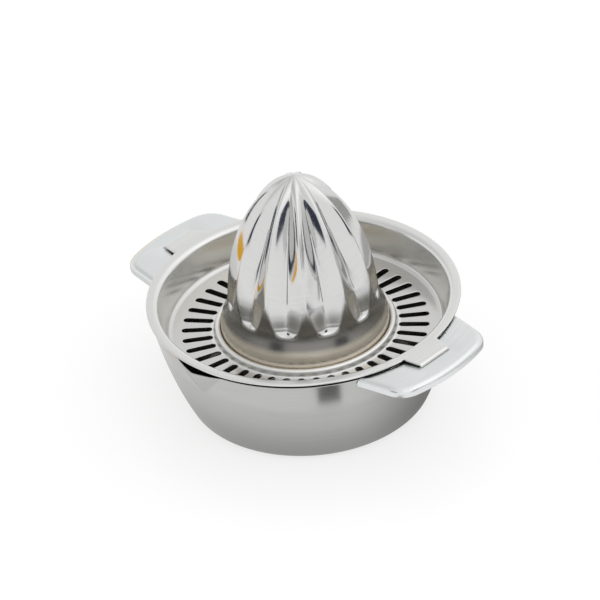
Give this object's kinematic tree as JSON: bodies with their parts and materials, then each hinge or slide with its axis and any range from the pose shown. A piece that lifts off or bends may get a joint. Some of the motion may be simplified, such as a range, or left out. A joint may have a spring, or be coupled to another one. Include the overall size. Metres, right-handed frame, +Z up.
{
  "type": "citrus press juicer",
  "caption": "Manual citrus press: fluted reamer cone in a slotted strainer dish that lifts off a tapered steel bowl with wing handles and a small V spout.",
  "frame": {"origin": "centre of the bowl's flat base, at the surface that it stands on", "axes": "+X towards the right wing handle, -Y towards the pouring spout, +Z up along the reamer cone"},
  "size_m": [0.164, 0.1321, 0.1062],
  "materials": {
    "bowl_steel": "satin, with a faint upright grain",
    "handle_steel": "fine satin",
    "strainer_steel": "bright satin, with a circular grain",
    "cone_steel": "polished, close to a mirror"
  },
  "bodies": {
    "bowl": {"juice_bowl": "bowl_steel", "right_handle": "handle_steel", "left_handle": "handle_steel"},
    "strainer": {"strainer_dish": "strainer_steel", "reamer_cone": "cone_steel"}
  },
  "joints": [
    {"name": "strainer_lift", "type": "slide", "parent": "bowl", "child": "strainer", "axis": [0, 0, 1], "range_m": [0, 0.06]}
  ]
}
